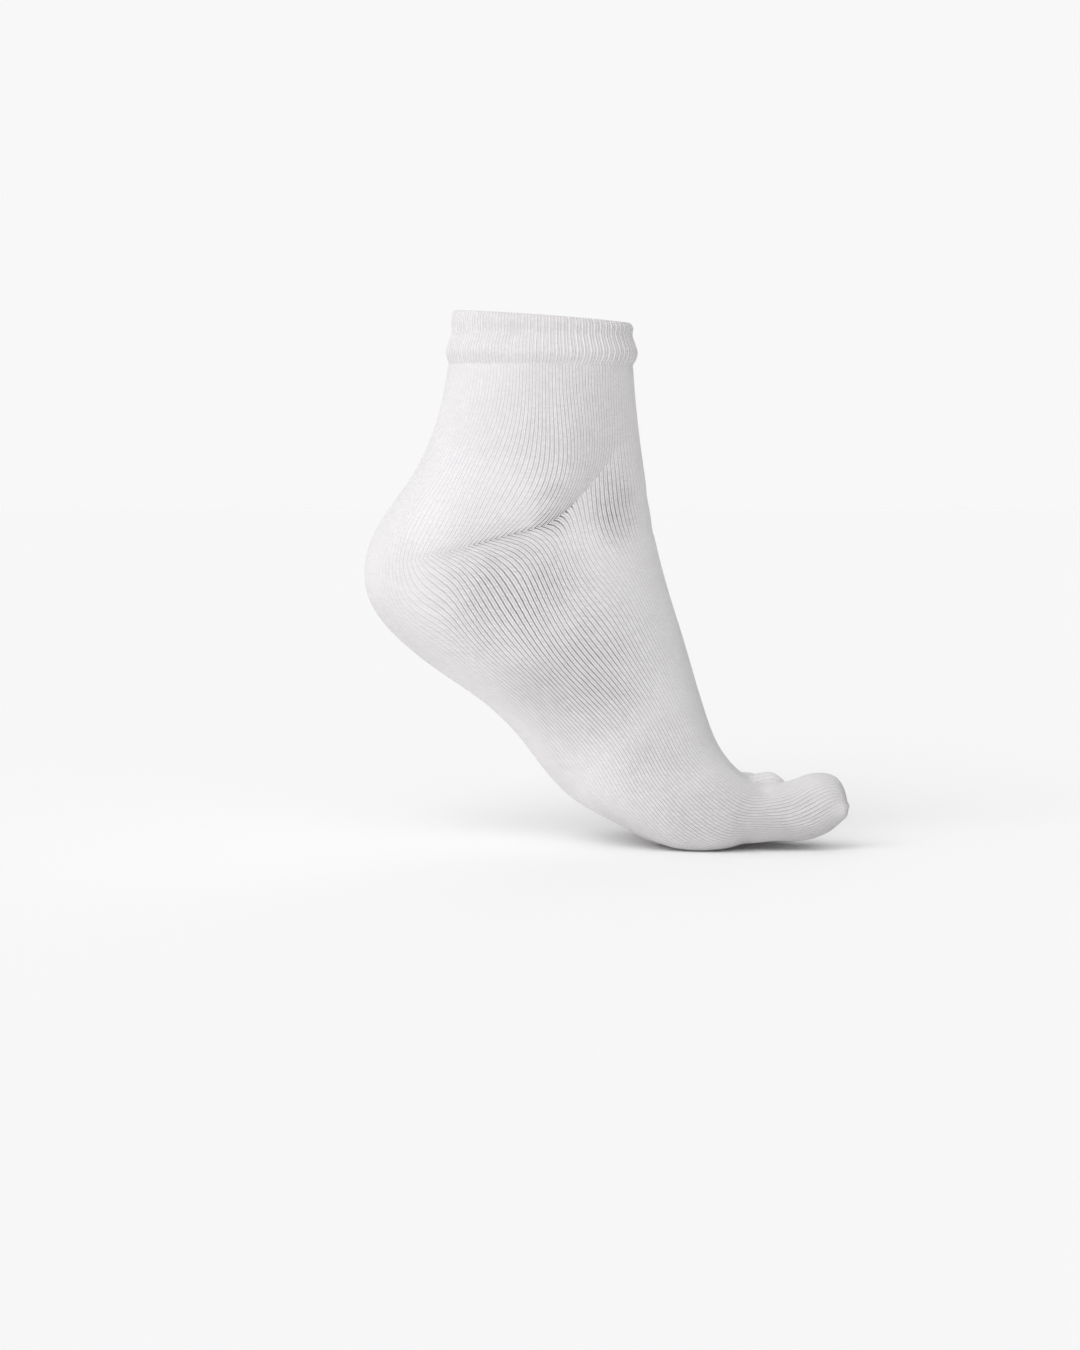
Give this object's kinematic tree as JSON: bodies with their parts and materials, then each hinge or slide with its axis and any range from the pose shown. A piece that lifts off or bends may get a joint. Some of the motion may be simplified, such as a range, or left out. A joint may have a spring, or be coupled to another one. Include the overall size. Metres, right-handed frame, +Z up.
{
  "type": "toe sock",
  "caption": "Knitted ankle sock for a left foot on a raised heel, with a ribbed welt, a turned heel and a separate sleeve for each toe.",
  "frame": {"origin": "middle of the ankle opening, at the rim of the welt", "axes": "+X towards the toes, +Z up the leg, -Y towards the inner side of the foot, where the big toe is"},
  "size_m": [0.2059, 0.0896, 0.2275],
  "materials": {
    "plain_knit": "matt knit",
    "ribbed_knit": "matt rib knit"
  },
  "bodies": {
    "root": {"welt": "ribbed_knit", "leg_and_foot": "plain_knit", "toe_big": "plain_knit", "toe_second": "plain_knit", "toe_third": "plain_knit", "toe_fourth": "plain_knit", "toe_little": "plain_knit"}
  },
  "joints": []
}
